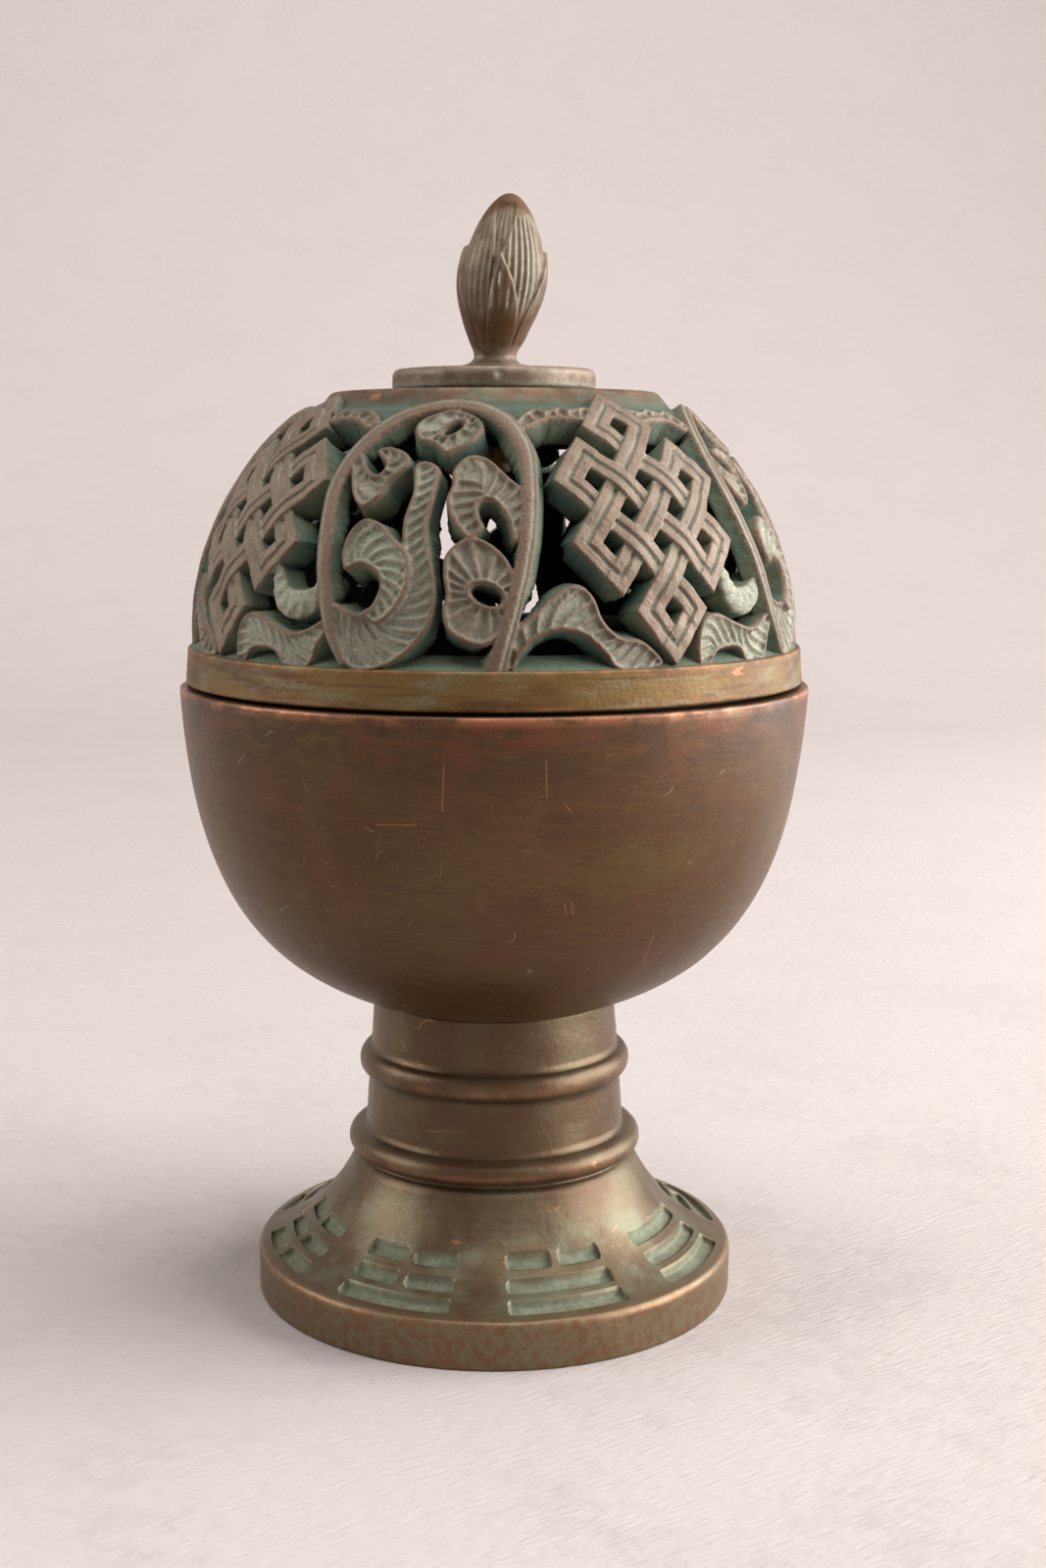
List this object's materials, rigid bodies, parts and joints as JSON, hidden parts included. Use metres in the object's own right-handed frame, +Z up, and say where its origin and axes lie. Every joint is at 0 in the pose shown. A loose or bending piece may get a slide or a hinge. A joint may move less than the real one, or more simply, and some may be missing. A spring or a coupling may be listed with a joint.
{
  "type": "incense burner",
  "caption": "Footed bronze-toned brass incense burner: round bowl on a beaded stem, pierced domed lid of endless knots and lotus scrolls, lotus-bud knob.",
  "frame": {"origin": "centre of the ring that the foot stands on", "axes": "+Z up the axis of the burner, -Y towards the side that the picture shows, +X to the right of that side"},
  "size_m": [0.075, 0.075, 0.1319],
  "materials": {
    "pedestal_bronze": "aged brown patina with pale green in the sunk lines and copper wear on the beads and foot edge",
    "bowl_bronze": "warm brown semi-gloss patina with turning marks and fine scratches",
    "lid_patina": "brown worn faces over grey-green patina in the piercings and carved lines",
    "knob_bronze": "brown patina with pale green in the flutes and a copper-coloured tip",
    "fastener_brass": "dull machined brass",
    "holder_brass": "turned brass, darkened by smoke"
  },
  "bodies": {
    "stand": {"pedestal": "pedestal_bronze", "bowl": "bowl_bronze", "stem_bolt": "fastener_brass", "stem_washer": "fastener_brass", "stem_nut": "fastener_brass"},
    "lid": {"lid_dome": "lid_patina", "knob_disc": "knob_bronze", "knob_bud": "knob_bronze", "knob_washer": "fastener_brass", "knob_nut": "fastener_brass"},
    "holder": {"incense_holder": "holder_brass"}
  },
  "joints": [
    {"name": "lid_lift", "type": "slide", "parent": "stand", "child": "lid", "axis": [0, 0, 1], "range_m": [0, 0.06]},
    {"name": "holder_lift", "type": "slide", "parent": "stand", "child": "holder", "axis": [0, 0, 1], "range_m": [0, 0.036]}
  ]
}
